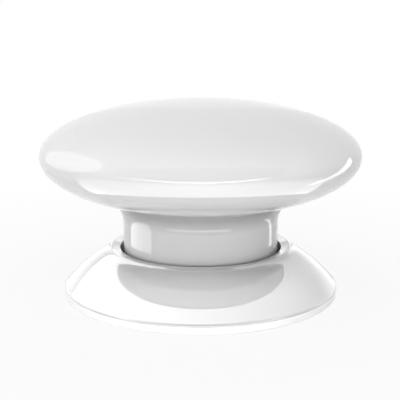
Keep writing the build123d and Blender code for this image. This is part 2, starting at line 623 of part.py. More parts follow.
def make_status_led():
    body = block(LED_SIDE, LED_SIDE, BOARD_TOP_Z, BOARD_TOP_Z + LED_HEIGHT)
    return body + peg(LED_LENS_RADIUS, BOARD_TOP_Z + LED_HEIGHT, BOARD_TOP_Z + LED_HEIGHT + LED_LENS_HEIGHT)


def make_buzzer():
    body = Pos(BUZZER_X, BUZZER_Y, BOARD_TOP_Z) * extrude(Circle(BUZZER_RADIUS), BUZZER_HEIGHT)
    top = BOARD_TOP_Z + BUZZER_HEIGHT
    return body - Pos(BUZZER_X, BUZZER_Y, top - BUZZER_HOLE_DEPTH) * extrude(
        Circle(BUZZER_HOLE_RADIUS), BUZZER_HEIGHT)


def make_reservoir_capacitor():
    return block(CAPACITOR_LENGTH, CAPACITOR_WIDTH, BOARD_TOP_Z, BOARD_TOP_Z + CAPACITOR_HEIGHT, 0, CAPACITOR_Y)


def make_crystal():
    return block(CRYSTAL_LENGTH, CRYSTAL_WIDTH, BOARD_TOP_Z, BOARD_TOP_Z + CRYSTAL_HEIGHT, CRYSTAL_X, CRYSTAL_Y)


def make_antenna():
    """Coiled wire that lies along the board's edge."""
    height = ANTENNA_TURNS * ANTENNA_PITCH
    print("antenna: least gap between turns", round(ANTENNA_PITCH - ANTENNA_WIRE, 2), "mm")
    wire = coil(ANTENNA_RADIUS, ANTENNA_PITCH, ANTENNA_TURNS, ANTENNA_WIRE)
    centre_z = BOARD_TOP_Z + ANTENNA_RADIUS + ANTENNA_WIRE / 2
    return Pos(-height / 2, ANTENNA_Y, centre_z) * Rot(0, 90, 0) * wire


def make_switch_body():
    body = at_polar(SWITCH_CIRCLE, 0, SWITCH_Z) * extrude(
        RectangleRounded(SWITCH_SIDE, SWITCH_SIDE, SWITCH_CORNER), SWITCH_HEIGHT)
    pocket = SWITCH_Z + PLUNGER_DEPTH + PRESS_TRAVEL + PLUNGER_GAP
    return body - peg(PLUNGER_RADIUS + PLUNGER_GAP, SWITCH_Z - OVERRUN, pocket, SWITCH_CIRCLE)


def make_switch_plunger():
    return peg(PLUNGER_RADIUS, SWITCH_Z - PLUNGER_REACH, SWITCH_Z + PLUNGER_DEPTH, SWITCH_CIRCLE)


PIECES = {
    "adhesive_pad": make_adhesive_pad,
    "base_plate": make_base_plate,
    "base_shell": make_base_shell,
    "bayonet_ring": make_bayonet_ring,
    "base_screws": make_base_screws,
    "slider_sleeve": make_slider_sleeve,
    "return_spring": make_return_spring,
    "neck_sleeve": make_neck_sleeve,
    "cap_shell": make_cap_shell,
    "chassis": make_chassis,
    "cap_screws": make_cap_screws,
    "battery": make_battery,
    "battery_door": make_battery_door,
    "battery_contact_foot": make_contact_foot,
    "battery_contact_top": make_contact_top,
    "main_board": make_main_board,
    "radio_module": make_radio_module,
    "control_chip": make_control_chip,
    "crystal": make_crystal,
    "antenna": make_antenna,
    "status_led": make_status_led,
    "buzzer": make_buzzer,
    "reservoir_capacitor": make_reservoir_capacitor,
    "switch_body": make_switch_body,
    "switch_plunger": make_switch_plunger,
}

os.makedirs("parts", exist_ok=True)
for name, make in PIECES.items():
    export_step(make(), "parts/" + name + ".step")
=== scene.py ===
import json
import math

import bmesh
import bpy
from mathutils import Matrix, Vector

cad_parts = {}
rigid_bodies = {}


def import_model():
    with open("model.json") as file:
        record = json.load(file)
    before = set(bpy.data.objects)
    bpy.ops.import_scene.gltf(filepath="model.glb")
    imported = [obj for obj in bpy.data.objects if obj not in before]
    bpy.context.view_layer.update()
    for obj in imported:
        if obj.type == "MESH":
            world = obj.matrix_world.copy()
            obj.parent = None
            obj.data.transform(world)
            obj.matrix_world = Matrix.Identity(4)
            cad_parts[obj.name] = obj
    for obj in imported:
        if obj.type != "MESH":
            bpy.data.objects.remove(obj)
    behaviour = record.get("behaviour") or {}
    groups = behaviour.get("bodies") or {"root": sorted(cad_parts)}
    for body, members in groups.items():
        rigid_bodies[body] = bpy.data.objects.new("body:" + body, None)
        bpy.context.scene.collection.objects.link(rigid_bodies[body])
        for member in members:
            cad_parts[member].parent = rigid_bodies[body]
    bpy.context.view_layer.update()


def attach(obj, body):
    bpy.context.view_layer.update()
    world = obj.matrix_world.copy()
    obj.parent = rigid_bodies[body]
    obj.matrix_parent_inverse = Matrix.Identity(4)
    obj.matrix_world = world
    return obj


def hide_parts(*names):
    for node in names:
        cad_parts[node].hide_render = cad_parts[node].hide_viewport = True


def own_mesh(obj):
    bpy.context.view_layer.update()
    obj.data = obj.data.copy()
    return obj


# Smart button: a glossy white lens-shaped cap on a neck that presses into a flared base.
# Metres, +Z up, origin at the centre of the base's underside, as in the frame.

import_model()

MM = 0.001

# Outside sizes, as in the solids that these smooth skins stand for, but for the lip, which the photograph's
# reflections put a little lower and narrower
CAP_RADIUS = 23.0 * MM
CAP_HALF_HEIGHT = 7.9 * MM
CAP_MIDDLE_Z = 20.3 * MM
CAP_WALL = 1.6 * MM
CAP_OPENING_RADIUS = 16.0 * MM
SEAM_GAP = 0.08 * MM
NECK_RADIUS = 11.35 * MM
NECK_WALL = 1.4 * MM
NECK_BOTTOM_Z = 5.4 * MM
NECK_EDGE = 0.3 * MM
NECK_ROOT_RADIUS = 4.25 * MM
BASE_RADIUS = 20.1 * MM
PLATE_RIM = 1.04 * MM
PLATE_FOOT = 0.15 * MM
PAD_RECESS_RADIUS = 17.7 * MM
PAD_RECESS_DEPTH = 0.4 * MM
SKIRT_EDGE_Z = 1.75 * MM
SKIRT_EDGE_INSET = 0.45 * MM
SKIRT_TOP_RADIUS = 14.15 * MM
SKIRT_TOP_Z = 6.04 * MM
SKIRT_CROWN = 0.29 * MM
LIP_BORE = 11.85 * MM
LIP_ROLL = 0.45 * MM
LIP_LEAN_DEGREES = 30
LIP_TOP_RADIUS = 12.95 * MM
LIP_TOP_Z = 6.97 * MM
LIP_EDGE_Z = 6.68 * MM
LIP_EDGE = 0.15 * MM
LIP_EDGE_SINK_SHARE = 0.7
SKIRT_FOOT = 1.4 * MM
BORE_WALL = 1.3 * MM
BORE_END_Z = 4.2 * MM
PLATE_STEP_RADIUS = 17.2 * MM
PLATE_TOP_Z = 1.7 * MM
BEVEL = 0.045 * MM

SEAM_Z = CAP_MIDDLE_Z - CAP_HALF_HEIGHT * math.sqrt(1 - (CAP_OPENING_RADIUS / CAP_RADIUS) ** 2)
ROOT_Z = SEAM_Z - NECK_ROOT_RADIUS

# Steps round a turn and along the curves of a section
TURN_STEPS = 288
CAP_STEPS, CAP_INSIDE_STEPS = 120, 60
ROOT_STEPS, ROOT_INSIDE_STEPS = 32, 24
SKIRT_STEPS, SKIRT_EDGE_STEPS = 40, 10
LIP_STEPS, LIP_FOOT_STEPS = 24, 12
NECK_EDGE_STEPS, EDGE_STEPS = 8, 6

MERGE_DISTANCE = 0.001 * MM
SHARP_ANGLE = math.radians(40)


# Pieces

def placed(data, name):
    """A new object in the scene, at the origin."""
    obj = bpy.data.objects.new(name, data)
    bpy.context.scene.collection.objects.link(obj)
    return obj


def as_mesh(build, name):
    mesh = bpy.data.meshes.new(name)
    build.to_mesh(mesh)
    build.free()
    return mesh


def finished(build, name):
    """Merge a mesh, turn its faces outward, shade it smooth and put it in the scene."""
    bmesh.ops.remove_doubles(build, verts=build.verts, dist=MERGE_DISTANCE)
    bmesh.ops.recalc_face_normals(build, faces=build.faces)
    mesh = as_mesh(build, name)
    if "custom_normal" in mesh.attributes:
        mesh.attributes.remove(mesh.attributes["custom_normal"])
    for face in mesh.polygons:
        face.use_smooth = True
    mesh.set_sharp_from_angle(angle=SHARP_ANGLE)
    return placed(mesh, name)


class Outline:
    """A pen that draws half the section of a turned piece, in radius and height, and then turns it."""

    def __init__(self, radius, height):
        self.build = bmesh.new()
        self.first = self.tip = self.build.verts.new((radius, 0, height))

    def line(self, radius, height):
        """Draw a straight run to a point."""
        step = bmesh.ops.extrude_vert_indiv(self.build, verts=[self.tip])
        self.tip = step["verts"][0]
        self.tip.co = (radius, 0, height)

    def arc(self, centre, turn, steps, flatten=1.0):
        """Carry the pen round a centre by an angle; flatten below 1 makes the arc an ellipse's."""
        before = set(self.build.verts)
        space = Matrix.Translation((-centre[0], 0, -centre[1]))
        bmesh.ops.scale(self.build, vec=(1, 1, 1 / flatten), space=space, verts=[self.tip])
        start = self.tip
        made = bmesh.ops.spin(self.build, geom=[self.tip], cent=(centre[0], 0, centre[1]), axis=(0, -1, 0),
                              angle=math.radians(turn), steps=steps)
        self.tip = next(part for part in made["geom_last"] if isinstance(part, bmesh.types.BMVert))
        drawn = [vert for vert in self.build.verts if vert not in before]
        bmesh.ops.scale(self.build, vec=(1, 1, flatten), space=space, verts=[start] + drawn)

    def blend(self, radius, height, leave, arrive, steps):
        """Draw a fair curve to a point, with the given directions at its two ends."""
        start, end = Vector((self.tip.co.x, self.tip.co.z)), Vector((radius, height))
        leave, arrive = Vector(leave), Vector(arrive)
        for i in range(1, steps + 1):
            t = i / steps
            point = ((2 * t**3 - 3 * t**2 + 1) * start + (t**3 - 2 * t**2 + t) * leave
                     + (3 * t**2 - 2 * t**3) * end + (t**3 - t**2) * arrive)
            self.line(*point)

    def turned(self, name, closed=True):
        """Turn the section round the vertical axis into a smooth mesh."""
        if closed:
            self.build.edges.new((self.tip, self.first))
        bmesh.ops.spin(self.build, geom=list(self.build.verts) + list(self.build.edges), cent=(0, 0, 0),
                       axis=(0, 0, 1), angle=math.tau, steps=TURN_STEPS, use_merge=True)
        return finished(self.build, name)


def cap_skin():
    """The lens-shaped cap, open below where the neck's flange closes it."""
    centre = (0, CAP_MIDDLE_Z)
    inner_radius, inner_half = CAP_RADIUS - CAP_WALL, CAP_HALF_HEIGHT - CAP_WALL
    sweep = 90 + math.degrees(math.acos(CAP_OPENING_RADIUS / CAP_RADIUS))
    inner_sweep = 90 + math.degrees(math.acos(CAP_OPENING_RADIUS / inner_radius))
    pen = Outline(CAP_OPENING_RADIUS, SEAM_Z)
    pen.arc(centre, sweep, CAP_STEPS, flatten=CAP_HALF_HEIGHT / CAP_RADIUS)
    pen.line(0, CAP_MIDDLE_Z + inner_half)
    pen.arc(centre, -inner_sweep, CAP_INSIDE_STEPS, flatten=inner_half / inner_radius)
    return pen.turned("cap_skin")


def neck_skin():
    """The neck, curving out at its root into a flange that closes the cap."""
    bore = NECK_RADIUS - NECK_WALL
    flange = CAP_OPENING_RADIUS - SEAM_GAP
    root = (NECK_RADIUS + NECK_ROOT_RADIUS, ROOT_Z)
    pen = Outline(bore, NECK_BOTTOM_Z)
    pen.line(NECK_RADIUS - NECK_EDGE, NECK_BOTTOM_Z)
    pen.arc((NECK_RADIUS - NECK_EDGE, NECK_BOTTOM_Z + NECK_EDGE), 90, NECK_EDGE_STEPS)
    pen.line(NECK_RADIUS, ROOT_Z)
    pen.arc(root, -90, ROOT_STEPS)
    pen.line(flange, SEAM_Z)
    pen.line(flange, SEAM_Z + NECK_WALL)
    pen.line(root[0], SEAM_Z + NECK_WALL)
    pen.arc(root, 90, ROOT_INSIDE_STEPS)
    return pen.turned("neck_skin")


def base_skin():
    """The flared skirt, rolled over at its top into a lip that slopes down into the bore."""
    low = Vector((BASE_RADIUS - SKIRT_EDGE_INSET, SKIRT_EDGE_Z))
    high = Vector((SKIRT_TOP_RADIUS, SKIRT_TOP_Z))
    chord = (high - low).length
    bow = (chord**2 / 4 + SKIRT_CROWN**2) / (2 * SKIRT_CROWN)
    along = (high - low).normalized()
    centre = (low + high) / 2 - Vector((along.y, -along.x)) * (bow - SKIRT_CROWN)
    half_turn = math.asin(chord / 2 / bow)
    leave = Matrix.Rotation(half_turn, 2) @ along
    arrive = Matrix.Rotation(-half_turn, 2) @ along
    if (low - centre).dot(leave) ** 2 > (low - centre).dot(arrive) ** 2:
        leave, arrive = arrive, leave
    roll = Vector((LIP_TOP_RADIUS, LIP_TOP_Z - LIP_ROLL))
    run, rise = roll.x - LIP_BORE, roll.y - LIP_EDGE_Z
    slope = math.degrees(math.atan2(rise, run) + math.asin(LIP_ROLL / math.hypot(run, rise)))

    pen = Outline(BASE_RADIUS - SKIRT_FOOT, PLATE_RIM)
    pen.line(BASE_RADIUS - BEVEL, PLATE_RIM)
    pen.line(BASE_RADIUS, PLATE_RIM + BEVEL)
    step = (low - Vector((BASE_RADIUS, PLATE_RIM + BEVEL))).length
    pen.blend(*low, (0, step), leave * step, SKIRT_EDGE_STEPS)
    pen.arc(centre, 2 * math.degrees(half_turn), SKIRT_STEPS)
    lean = Matrix.Rotation(math.radians(LIP_LEAN_DEGREES), 2)
    shoulder = roll + lean @ Vector((LIP_ROLL, 0))
    step = (shoulder - high).length
    pen.blend(*shoulder, arrive * step, lean @ Vector((0, step)), LIP_FOOT_STEPS)
    pen.arc(roll, 90 - LIP_LEAN_DEGREES + slope, LIP_STEPS)
    edge = Vector((LIP_BORE + LIP_EDGE, LIP_EDGE_Z - LIP_EDGE * LIP_EDGE_SINK_SHARE))
    pen.line(*(edge + Matrix.Rotation(math.radians(90 + slope), 2) @ Vector((LIP_EDGE, 0))))
    pen.arc(edge, 90 - slope, EDGE_STEPS)
    pen.line(LIP_BORE, BORE_END_Z)
    pen.line(LIP_BORE + BORE_WALL, BORE_END_Z)
    return pen.turned("base_skin")


def plate_skin():
    """The disc that closes the base, recessed below for its adhesive pad."""
    pen = Outline(0, PAD_RECESS_DEPTH)
    pen.line(PAD_RECESS_RADIUS, PAD_RECESS_DEPTH)
    pen.line(PAD_RECESS_RADIUS, 0)
    pen.line(BASE_RADIUS - PLATE_FOOT, 0)
    pen.arc((BASE_RADIUS - PLATE_FOOT, PLATE_FOOT), 90, EDGE_STEPS)
    pen.line(BASE_RADIUS, PLATE_RIM - BEVEL)
    pen.arc((BASE_RADIUS - BEVEL, PLATE_RIM - BEVEL), 90, EDGE_STEPS)
    pen.line(PLATE_STEP_RADIUS, PLATE_RIM)
    pen.line(PLATE_STEP_RADIUS, PLATE_TOP_Z)
    pen.line(0, PLATE_TOP_Z)
    return pen.turned("plate_skin", closed=False)


def pressed_spring():
    """The return spring again, as a merged piece."""
    source = bpy.data.objects["return_spring"]
    build = bmesh.new()
    build.from_mesh(source.data)
    bmesh.ops.transform(build, matrix=source.matrix_world, verts=build.verts)
    return finished(build, "pressed_spring")


# Finishes

def new_material(name):
    """A material with its nodes, its shader and its output's surface."""
    mat = bpy.data.materials.new(name)
    mat.use_nodes = True
    nodes = mat.node_tree.nodes
    return mat, mat.node_tree, nodes["Principled BSDF"], nodes["Material Output"].inputs["Surface"]


def start_finish(name, colour, roughness, metallic=0.0, ior=1.5):
    """A material with even values on the shader's own sockets, and the piece's coordinates to draw on."""
    mat, tree, shader, surface = new_material(name)
    shader.inputs["Base Color"].default_value = (*colour, 1)
    shader.inputs["Roughness"].default_value = roughness
    shader.inputs["Metallic"].default_value = metallic
    shader.inputs["IOR"].default_value = ior
    place = tree.nodes.new("ShaderNodeTexCoord").outputs["Object"]
    return mat, tree, shader, place


def stretched(tree, place, scale, turn=(0, 0, 0)):
    """The coordinates drawn out along an axis, for marks that run one way."""
    mapping = tree.nodes.new("ShaderNodeMapping")
    mapping.inputs["Scale"].default_value = scale
    mapping.inputs["Rotation"].default_value = turn
    tree.links.new(place, mapping.inputs["Vector"])
    return mapping.outputs["Vector"]


def mottle(tree, place, size, detail=2.0):
    """Soft uneven spots of about the given size."""
    noise = tree.nodes.new("ShaderNodeTexNoise")
    noise.inputs["Scale"].default_value = 1 / size
    noise.inputs["Detail"].default_value = detail
    tree.links.new(place, noise.inputs["Vector"])
    return noise.outputs["Fac"]


def cells(tree, place, size):
    """Rounded cells of about the given size."""
    voronoi = tree.nodes.new("ShaderNodeTexVoronoi")
    voronoi.inputs["Scale"].default_value = 1 / size
    tree.links.new(place, voronoi.inputs["Vector"])
    return voronoi.outputs["Distance"]


def between(tree, value, low, high, start=0.3, end=0.7):
    """A value spread over a new range."""
    spread = tree.nodes.new("ShaderNodeMapRange")
    for name, number in (("From Min", start), ("From Max", end), ("To Min", low), ("To Max", high)):
        spread.inputs[name].default_value = number
    tree.links.new(value, spread.inputs["Value"])
    return spread.outputs["Result"]


def tinted(tree, value, first, second):
    """One colour turning into another as a value goes from 0 to 1."""
    mix = tree.nodes.new("ShaderNodeMix")
    mix.data_type = "RGBA"
    colour_sockets = [socket for socket in mix.inputs if socket.type == "RGBA"]
    colour_sockets[0].default_value = (*first, 1)
    colour_sockets[1].default_value = (*second, 1)
    tree.links.new(value, mix.inputs[0])
    return next(socket for socket in mix.outputs if socket.type == "RGBA")


def relief(tree, shader, height, depth, strength=1.0):
    """Raise and sink the surface by a height pattern."""
    bump = tree.nodes.new("ShaderNodeBump")
    bump.inputs["Distance"].default_value = depth
    bump.inputs["Strength"].default_value = strength
    tree.links.new(height, bump.inputs["Height"])
    tree.links.new(bump.outputs["Normal"], shader.inputs["Normal"])


def shade(colour, factor):
    return tuple(channel * factor for channel in colour)


POLISH_LEAST, POLISH, POLISH_MOST = 0.025, 0.03, 0.04
ORANGE_PEEL = 0.0006 * MM
# Gloss levels for painted shade: full outside it, turned down inside it
FULL_GLOSS, PAINTED_SHADE_GLOSS = 0.5, 0.1


def polished_white(name, value, ior=1.5, painted_shade=None):
    """White plastic polished in the mould, with a trace of flow in its colour and orange peel in its gloss.

    With the last argument, (start, end, share), shade is painted on: the colour darkens to that share of
    itself, and its gloss is turned down, from one height to another."""
    colour = (value, value, value)
    mat, tree, shader, place = start_finish(name, colour, POLISH, ior=ior)
    flow = between(tree, mottle(tree, place, 9 * MM, detail=3), 0, 1)
    tint = tinted(tree, flow, shade(colour, 0.993), shade(colour, 1.006))
    # Painted shade: the colour darkens and the gloss is turned down between two heights
    if painted_shade:
        start, end, share = painted_shade
        height = tree.nodes.new("ShaderNodeSeparateXYZ")
        tree.links.new(place, height.inputs["Vector"])
        painted_shade_scale = tree.nodes.new("ShaderNodeVectorMath")
        painted_shade_scale.operation = "SCALE"
        tree.links.new(tint, painted_shade_scale.inputs[0])
        tree.links.new(between(tree, height.outputs["Z"], 1, share, start, end), painted_shade_scale.inputs["Scale"])
        tint = painted_shade_scale.outputs["Vector"]
        tree.links.new(between(tree, height.outputs["Z"], FULL_GLOSS, PAINTED_SHADE_GLOSS, start, end),
                       shader.inputs["Specular IOR Level"])
    tree.links.new(tint, shader.inputs["Base Color"])
    haze = mottle(tree, place, 2.5 * MM, detail=4)
    tree.links.new(between(tree, haze, POLISH_LEAST, POLISH_MOST), shader.inputs["Roughness"])
    relief(tree, shader, mottle(tree, place, 0.7 * MM, detail=1), ORANGE_PEEL)
    return mat


def moulded(name, colour, roughness, grain, depth):
    """Plastic straight from a spark-eroded mould: an even fine grain and slightly uneven sheen."""
    mat, tree, shader, place = start_finish(name, colour, roughness)
    flow = between(tree, mottle(tree, place, 5 * MM, detail=3), 0, 1)
    tree.links.new(tinted(tree, flow, shade(colour, 0.94), shade(colour, 1.05)), shader.inputs["Base Color"])
    sheen = mottle(tree, place, 1.5 * MM, detail=4)
    tree.links.new(between(tree, sheen, roughness * 0.85, roughness * 1.2), shader.inputs["Roughness"])
    relief(tree, shader, mottle(tree, place, grain, detail=2), depth)
    return mat


def foam(name, colour):
    """Closed-cell foam: small rounded cells, matt and faintly speckled."""
    mat, tree, shader, place = start_finish(name, colour, 0.9)
    cell = cells(tree, place, 0.28 * MM)
    middle_to_wall = (0.1, 0.7)
    speckle = between(tree, cell, 0, 1, *middle_to_wall)
    tree.links.new(tinted(tree, speckle, shade(colour, 1.02), shade(colour, 0.86)),
                   shader.inputs["Base Color"])
    tree.links.new(between(tree, cell, 0.95, 0.8, *middle_to_wall), shader.inputs["Roughness"])
    relief(tree, shader, cell, 0.04 * MM, strength=0.8)
    return mat


def metal(name, colour, roughness, drawn=(1, 1, 1), line=0.05 * MM, depth=0.001 * MM):
    """Plated or drawn metal: fine lines where it was drawn, and a little dulling in patches."""
    mat, tree, shader, place = start_finish(name, colour, roughness, metallic=1.0)
    patches = between(tree, mottle(tree, place, 3 * MM, detail=4), 0, 1)
    tree.links.new(tinted(tree, patches, shade(colour, 0.92), shade(colour, 1.04)),
                   shader.inputs["Base Color"])
    lines = mottle(tree, stretched(tree, place, drawn), line, detail=3)
    tree.links.new(between(tree, lines, roughness * 0.75, roughness * 1.35), shader.inputs["Roughness"])
    relief(tree, shader, lines, depth)
    return mat


def solder_mask(name, colour, track_colour):
    """A lacquered board: copper tracks showing as paler raised lines under the mask."""
    mat, tree, shader, place = start_finish(name, colour, 0.28)
    tracks = tree.nodes.new("ShaderNodeTexBrick")
    for socket, number in (("Scale", 1 / (9 * MM)), ("Mortar Size", 0.012), ("Mortar Smooth", 0.1),
                           ("Brick Width", 0.42), ("Row Height", 0.13)):
        tracks.inputs[socket].default_value = number
    for socket, grey in (("Color1", 0.0), ("Color2", 0.0), ("Mortar", 1.0)):
        tracks.inputs[socket].default_value = (grey, grey, grey, 1)
    tree.links.new(stretched(tree, place, (1, 1, 1), turn=(0, 0, math.radians(45))), tracks.inputs["Vector"])
    tree.links.new(tinted(tree, tracks.outputs["Color"], colour, track_colour), shader.inputs["Base Color"])
    weave = mottle(tree, place, 0.5 * MM, detail=3)
    tree.links.new(between(tree, weave, 0.22, 0.36), shader.inputs["Roughness"])
    relief(tree, shader, tracks.outputs["Color"], 0.02 * MM, strength=0.6)
    return mat


def lamp_lens(name, colour):
    """A small white lamp: a cloudy warm lens over its phosphor."""
    mat, tree, shader, place = start_finish(name, colour, 0.15)
    cloud = between(tree, mottle(tree, place, 0.4 * MM, detail=3), 0, 1)
    tree.links.new(tinted(tree, cloud, shade(colour, 0.9), colour), shader.inputs["Base Color"])
    tree.links.new(between(tree, mottle(tree, place, 0.2 * MM), 0.1, 0.22), shader.inputs["Roughness"])
    relief(tree, shader, mottle(tree, place, 0.15 * MM), 0.001 * MM)
    return mat


# One white plastic in lit and shaded copies: against the cap's white, the neck's and the base's are painted
# darker and the plate's lighter, and the neck gets painted shade under the cap; the base mirrors the cap more
# than plain plastic does
CAP_WHITE = polished_white("cap_white", 0.80)
# Painted shade on the neck: darker than the cap's white, and darker still from 10.8 to 12.9 mm up, under the
# cap
NECK_WHITE = polished_white("neck_white_painted_shade", 0.70, painted_shade=(10.8 * MM, 12.9 * MM, 0.68))
BASE_WHITE = polished_white("base_white_painted_shade", 0.68, ior=2.3)
PLATE_WHITE = polished_white("plate_white_painted_light", 0.92)

FINISHES = {
    "white_gloss": CAP_WHITE,
    "white_matte": moulded("moulded_white", (0.78, 0.78, 0.77), 0.45, 0.12 * MM, 0.004 * MM),
    "grey_plastic": moulded("satin_grey", (0.42, 0.43, 0.44), 0.4, 0.14 * MM, 0.004 * MM),
    "black_plastic": moulded("satin_black", (0.03, 0.03, 0.035), 0.38, 0.1 * MM, 0.003 * MM),
    "foam_pad": foam("foam", (0.9, 0.9, 0.88)),
    "board": solder_mask("green_mask", (0.03, 0.16, 0.07), track_colour=(0.06, 0.3, 0.12)),
    "steel": metal("zinc_plate", (0.62, 0.62, 0.64), 0.28, line=0.08 * MM),
    "spring_steel": metal("drawn_wire", (0.5, 0.5, 0.52), 0.3, drawn=(1, 1, 8), line=0.1 * MM),
    "nickel": metal("nickel_plate", (0.75, 0.74, 0.71), 0.2, drawn=(1, 1, 0.1), line=0.06 * MM),
    "copper": metal("gold_flash", (0.72, 0.45, 0.2), 0.22, line=0.08 * MM),
    "tantalum_yellow": moulded("yellow_resin", (0.75, 0.5, 0.1), 0.4, 0.08 * MM, 0.003 * MM),
    "led_white": lamp_lens("lamp_lens", (0.9, 0.88, 0.75)),
}


def dress(obj, mat):
    obj.data.materials.clear()
    obj.data.materials.append(mat)


for skin, body, node, white in (
        (cap_skin(), "button", "cap_shell", CAP_WHITE), (neck_skin(), "button", "neck_sleeve", NECK_WHITE),
        (base_skin(), "base", "base_shell", BASE_WHITE), (plate_skin(), "base", "base_plate", PLATE_WHITE)):
    dress(skin, white)
    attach(skin, body)
    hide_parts(node)

spring = pressed_spring()
dress(spring, FINISHES["spring_steel"])
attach(spring, "slider")
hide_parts("return_spring")
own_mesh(spring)

for obj in bpy.data.objects:
    for slot in obj.material_slots:
        if slot.material and slot.material.name in FINISHES:
            slot.material = FINISHES[slot.material.name]


# Studio: a white floor and room, area lamps for the matt light, and cards that glow in the gloss alone.
# Each card shows only in the gloss of the pieces given with it, and no lamp shows in any.

AROUND = Vector((0, 0, 12 * MM))
WHITE = 1.0

CAP_ONLY, NECK_ONLY, BASE_ONLY = ["cap_skin"], ["neck_skin"], ["base_skin", "plate_skin"]


def direction(azimuth, elevation):
    """The way to a place round the button: azimuth 0 in front, growing to its right; elevation above level."""
    az, el = math.radians(azimuth), math.radians(elevation)
    return Vector((math.cos(el) * math.sin(az), -math.cos(el) * math.cos(az), math.sin(el)))


def gathered(name, pieces, kept_out=False):
    """A collection of pieces for a lamp to light, or to leave out."""
    group = bpy.data.collections.new(name)
    for piece in pieces:
        group.objects.link(bpy.data.objects[piece])
    if kept_out:
        for link in group.collection_objects:
            link.light_linking.link_state = "EXCLUDE"
    return group


def softbox(name, azimuth, elevation, width, height, glow):
    """A rectangular lamp a metre away, facing the button, of an even glow where 1 is white."""
    data = bpy.data.lights.new(name, "AREA")
    data.shape = "RECTANGLE"
    data.size = width
    data.size_y = height
    data.energy = math.pi * glow * width * height
    obj = placed(data, name)
    way = direction(azimuth, elevation)
    obj.location = AROUND + way
    obj.rotation_euler = (-way).to_track_quat("-Z", "Y").to_euler()
    obj.visible_camera = obj.visible_glossy = False
    return obj


def board(name, azimuth, elevation, width, height, distance=1.0):
    """A flat board facing the button."""
    build = bmesh.new()
    bmesh.ops.create_grid(build, x_segments=1, y_segments=1, size=0.5)
    bmesh.ops.scale(build, vec=(width, height, 1), verts=build.verts)
    way = direction(azimuth, elevation)
    facing = (-way).to_track_quat("-Z", "Y").to_matrix().to_4x4()
    bmesh.ops.transform(build, matrix=Matrix.Translation(AROUND + way * distance) @ facing, verts=build.verts)
    return placed(as_mesh(build, name), name)


def only_in_gloss(obj):
    obj.visible_camera = obj.visible_diffuse = obj.visible_shadow = obj.visible_transmission = False


def fading(tree, glow, measure, centre, start, end):
    """A glow that dies away over a run of X, Y, Z or LENGTH from the centre."""
    mapping = tree.nodes.new("ShaderNodeMapping")
    mapping.inputs["Location"].default_value = -Vector(centre)
    tree.links.new(tree.nodes.new("ShaderNodeTexCoord").outputs["Object"], mapping.inputs["Vector"])
    if measure == "LENGTH":
        reach = tree.nodes.new("ShaderNodeVectorMath")
        reach.operation = "LENGTH"
    else:
        reach = tree.nodes.new("ShaderNodeSeparateXYZ")
    tree.links.new(mapping.outputs["Vector"], reach.inputs[0])
    value = reach.outputs["Value" if measure == "LENGTH" else measure]
    return between(tree, value, glow, 0, start, end)


def reflected(name, build, glow, shown_in, fade=None):
    """Make a shape a glowing card that shows only in the gloss of some pieces, over what is behind it.

    With fade, (measure, centre, start, end), the glow dies away from one side or from the centre."""
    obj = placed(as_mesh(build, name), name)
    light, tree, shader, surface = new_material(name)
    lit = tree.nodes.new("ShaderNodeEmission")
    lit.inputs["Strength"].default_value = glow
    if fade:
        tree.links.new(fading(tree, glow, *fade), lit.inputs["Strength"])
    both = tree.nodes.new("ShaderNodeAddShader")
    tree.links.new(lit.outputs["Emission"], both.inputs[0])
    tree.links.new(tree.nodes.new("ShaderNodeBsdfTransparent").outputs["BSDF"], both.inputs[1])
    tree.links.new(both.outputs["Shader"], surface)
    dress(obj, light)
    only_in_gloss(obj)
    obj.light_linking.receiver_collection = gathered(name, shown_in)


def card(name, corners, glow, shown_in, rounding=None, fade=None, level=None):
    """A glowing card, its corners given as azimuths and elevations, a metre away or in a level plane."""
    build = bmesh.new()
    for azimuth, elevation in corners:
        far = level / math.sin(math.radians(elevation)) if level else 1.0
        build.verts.new(AROUND + direction(azimuth, elevation) * far)
    build.faces.new(build.verts)
    if rounding:
        bmesh.ops.bevel(build, geom=list(build.verts), offset=rounding, segments=6, profile=0.5, material=-1,
                        affect="VERTICES", clamp_overlap=True)
    bmesh.ops.triangulate(build, faces=build.faces)
    reflected(name, build, glow, shown_in, fade)


def floor_card(name, near, far, sweep, glow, shown_in, fade):
    """A glowing part of the floor in front of the button, from one radius to another."""
    build = bmesh.new()
    edge = math.radians(sweep)
    start = build.verts.new((math.sin(edge) * near, -math.cos(edge) * near, 0))
    step = bmesh.ops.extrude_vert_indiv(build, verts=[start])
    bmesh.ops.scale(build, vec=(far / near,) * 3, verts=step["verts"])
    bmesh.ops.spin(build, geom=list(build.verts) + list(build.edges), cent=(0, 0, 0), axis=(0, 0, -1),
                   angle=2 * edge, steps=48)
    reflected(name, build, glow, shown_in, fade)


softbox("overhead_softbox", 0, 66, 1.2, 0.75, glow=2.2)
softbox("left_softbox", -105, 16, 0.95, 0.95, glow=1.5)
front_fill = softbox("front_fill", 0, 8, 1.7, 0.25, glow=4.5)
front_fill.light_linking.receiver_collection = gathered("front_fill", ["base_skin"], kept_out=True)
skirt_fill = softbox("skirt_fill", 0, 55, 1.2, 0.3, glow=4.0)
skirt_fill.light_linking.receiver_collection = gathered("skirt_fill", BASE_ONLY)
softbox("back_fill", 180, 25, 2.0, 0.93, glow=0.9)

# The oval on the cap's left and the upright patch on the neck's
card("left_window",
     [(-137, 0), (-137, 12), (-131, 25), (-120, 35.5), (-106, 41.5), (-92, 41.5), (-80, 36.5), (-74.5, 27),
      (-76, 14), (-84, 4), (-95, -3.5), (-108, -6.8), (-120, -6), (-131, -3)],
     2.2, CAP_ONLY, rounding=0.02, fade=("Y", (0, -0.25, 0), 0, 1.3))
card("left_window_low",
     [(-124, -8), (-126, -26), (-110, -40), (-92, -40), (-77, -24), (-77, -8)],
     3.0, NECK_ONLY, rounding=0.08)

